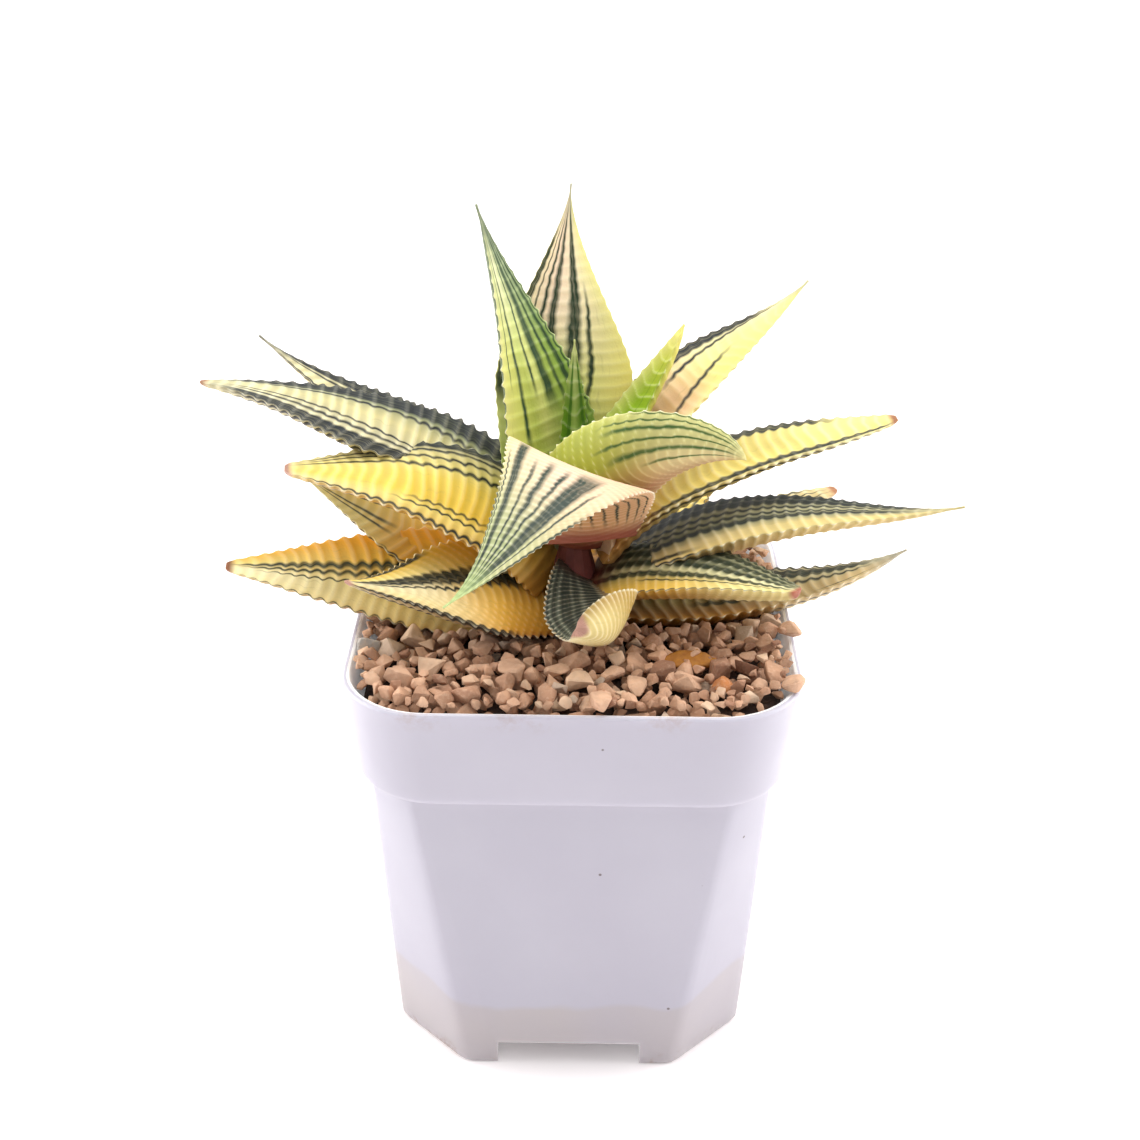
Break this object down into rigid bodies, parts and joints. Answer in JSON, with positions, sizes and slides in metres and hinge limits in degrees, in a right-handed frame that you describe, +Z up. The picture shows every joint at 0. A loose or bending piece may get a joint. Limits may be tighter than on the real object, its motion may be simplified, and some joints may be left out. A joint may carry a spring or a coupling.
{
  "type": "potted succulent",
  "caption": "Rosette of thick, pointed, cross-ridged striped leaves of a variegated haworthia, growing in a small square plastic nursery pot with a gravel top dressing.",
  "frame": {"origin": "middle of the pot's underside, on the surface the pot stands on", "axes": "+Z up out of the pot, -Y the plant's front, +X its right seen from the front"},
  "size_m": [0.1197, 0.0806, 0.1352],
  "materials": {
    "heart_leaf_1": "satin",
    "heart_leaf_2": "satin",
    "heart_leaf_3": "satin",
    "inner_leaf_1": "satin",
    "inner_leaf_2": "satin",
    "inner_leaf_3": "satin",
    "inner_leaf_4": "satin",
    "middle_leaf_1": "satin",
    "middle_leaf_2": "satin",
    "middle_leaf_3": "satin",
    "middle_leaf_4": "satin",
    "middle_leaf_5": "satin",
    "middle_leaf_6": "satin",
    "middle_leaf_7": "satin",
    "outer_leaf_1": "satin",
    "outer_leaf_2": "satin",
    "outer_leaf_3": "satin",
    "outer_leaf_4": "satin",
    "outer_leaf_5": "satin",
    "back_leaf": "satin",
    "pot": "satin",
    "potting_mix": "rough",
    "gravel": "rough",
    "stem": "satin",
    "root": "matte",
    "tan_stone": "rough",
    "grey_stone": "rough",
    "dry_leaf": "matte"
  },
  "bodies": {
    "root": {"heart_leaf_1": "heart_leaf_1", "heart_leaf_2": "heart_leaf_2", "heart_leaf_3": "heart_leaf_3", "inner_leaf_1": "inner_leaf_1", "inner_leaf_2": "inner_leaf_2", "inner_leaf_3": "inner_leaf_3", "inner_leaf_4": "inner_leaf_4", "middle_leaf_1": "middle_leaf_1", "middle_leaf_2": "middle_leaf_2", "middle_leaf_3": "middle_leaf_3", "middle_leaf_4": "middle_leaf_4", "middle_leaf_5": "middle_leaf_5", "middle_leaf_6": "middle_leaf_6", "middle_leaf_7": "middle_leaf_7", "outer_leaf_1": "outer_leaf_1", "outer_leaf_2": "outer_leaf_2", "outer_leaf_3": "outer_leaf_3", "outer_leaf_4": "outer_leaf_4", "outer_leaf_5": "outer_leaf_5", "outer_leaf_6": "back_leaf", "outer_leaf_7": "back_leaf", "outer_leaf_8": "back_leaf", "outer_leaf_9": "back_leaf", "outer_leaf_10": "back_leaf", "outer_leaf_11": "back_leaf", "outer_leaf_12": "back_leaf", "pot": "pot", "potting_mix": "potting_mix", "top_dressing": "gravel", "stem": "stem", "root_1": "root", "root_2": "root", "root_3": "root", "root_4": "root", "root_5": "root", "stone_1": "tan_stone", "stone_2": "tan_stone", "stone_3": "tan_stone", "stone_4": "grey_stone", "stone_5": "tan_stone", "stone_6": "tan_stone", "dry_leaf_scrap": "dry_leaf"}
  },
  "joints": []
}
